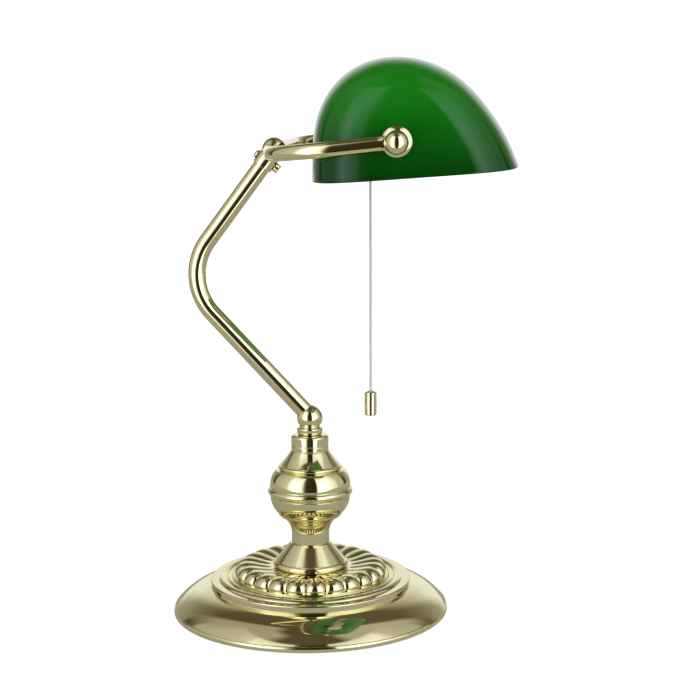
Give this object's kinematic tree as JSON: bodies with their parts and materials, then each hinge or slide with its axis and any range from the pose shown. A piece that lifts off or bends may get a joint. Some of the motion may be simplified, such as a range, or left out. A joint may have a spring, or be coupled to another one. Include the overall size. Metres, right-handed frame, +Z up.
{
  "type": "desk lamp",
  "caption": "Banker desk lamp: weighted round brass foot, turned stem, bent arm with a yoke that holds a tilting half-round green glass shade, and a pull cord.",
  "frame": {"origin": "centre of the base's underside, where the felt rests on the desk, on the axis of the stem", "axes": "+Z up along the stem; +X forward, the way the shade hangs out over the desk; +Y along the shade, away from the side the arm's screw faces"},
  "size_m": [0.2341, 0.2648, 0.3805],
  "materials": {
    "polished_brass": "mirror-polished pale brass plate",
    "zinc_steel": "bright zinc plate",
    "cast_iron": "rough, painted black",
    "felt": "dense wool felt",
    "rubber": "matt",
    "lead_sheath": "smooth PVC sheath",
    "green_glass": "glossy opaque green outer layer of cased glass",
    "white_glass": "glossy opal inner layer of cased glass",
    "holder_plastic": "moulded thermoset",
    "bulb_glass": "opal bulb glass",
    "cord_fabric": "fine braided cord"
  },
  "bodies": {
    "base": {"base_shell": "polished_brass", "base_weight": "cast_iron", "base_plate": "zinc_steel", "plate_screws": "zinc_steel", "felt_pad": "felt", "lead_grommet": "rubber", "stem_rod": "zinc_steel", "rod_washer": "zinc_steel", "rod_nut": "zinc_steel", "gadroon_ring": "polished_brass", "foot_cone": "polished_brass", "lower_vase": "polished_brass", "equator_bead": "polished_brass", "upper_vase": "polished_brass"},
    "arm": {"lock_ring": "polished_brass", "swivel_ball": "polished_brass", "arm_tube": "polished_brass", "tube_lead": "lead_sheath", "top_joint": "polished_brass", "cross_screw": "polished_brass", "cross_nut": "polished_brass", "yoke": "polished_brass"},
    "shade": {"shade_green": "green_glass", "shade_white": "white_glass", "rubber_washers": "rubber", "side_disc_near": "polished_brass", "side_disc_far": "polished_brass", "stud_near": "zinc_steel", "stud_far": "zinc_steel", "stud_nuts": "zinc_steel", "strap": "zinc_steel", "lampholder_shell": "polished_brass", "lampholder_core": "holder_plastic", "lampholder_nipple": "zinc_steel", "lampholder_nut": "zinc_steel", "bulb_cap": "zinc_steel", "bulb_glass": "bulb_glass", "switch_housing": "holder_plastic"},
    "near_nut": {"ball_nut_near": "polished_brass"},
    "far_nut": {"ball_nut_far": "polished_brass"},
    "switch_pull": {"switch_stem": "zinc_steel"},
    "cord": {"cord_bead": "zinc_steel", "pull_cord": "cord_fabric", "pull_knob": "polished_brass"}
  },
  "joints": [
    {"name": "arm_swivel", "type": "hinge", "parent": "base", "child": "arm", "pos_m": [0, 0, 0.1245], "axis": [0, 0, 1], "range_deg": [-90, 90]},
    {"name": "shade_tilt", "type": "hinge", "parent": "arm", "child": "shade", "pos_m": [0.0615, 0, 0.3285], "axis": [0, 1, 0], "range_deg": [-40, 40]},
    {"name": "near_nut_turn", "type": "hinge", "parent": "shade", "child": "near_nut", "pos_m": [0.0615, -0.1251, 0.3285], "axis": [0, -1, 0], "continuous": true},
    {"name": "far_nut_turn", "type": "hinge", "parent": "shade", "child": "far_nut", "pos_m": [0.0615, 0.1251, 0.3285], "axis": [0, 1, 0], "continuous": true},
    {"name": "switch_pull_slide", "type": "slide", "parent": "shade", "child": "switch_pull", "axis": [0, 0, -1], "range_m": [0, 0.006], "stiffness_N_per_m": 400, "springref_m": -0.003},
    {"name": "cord_swing", "type": "hinge", "parent": "switch_pull", "child": "cord", "pos_m": [0.042, 0, 0.328], "axis": [0, 1, 0], "range_deg": [-40, 40]}
  ],
  "couplings": [
    {"joint": "cord_swing", "follows": "shade_tilt", "ratio": -1}
  ]
}
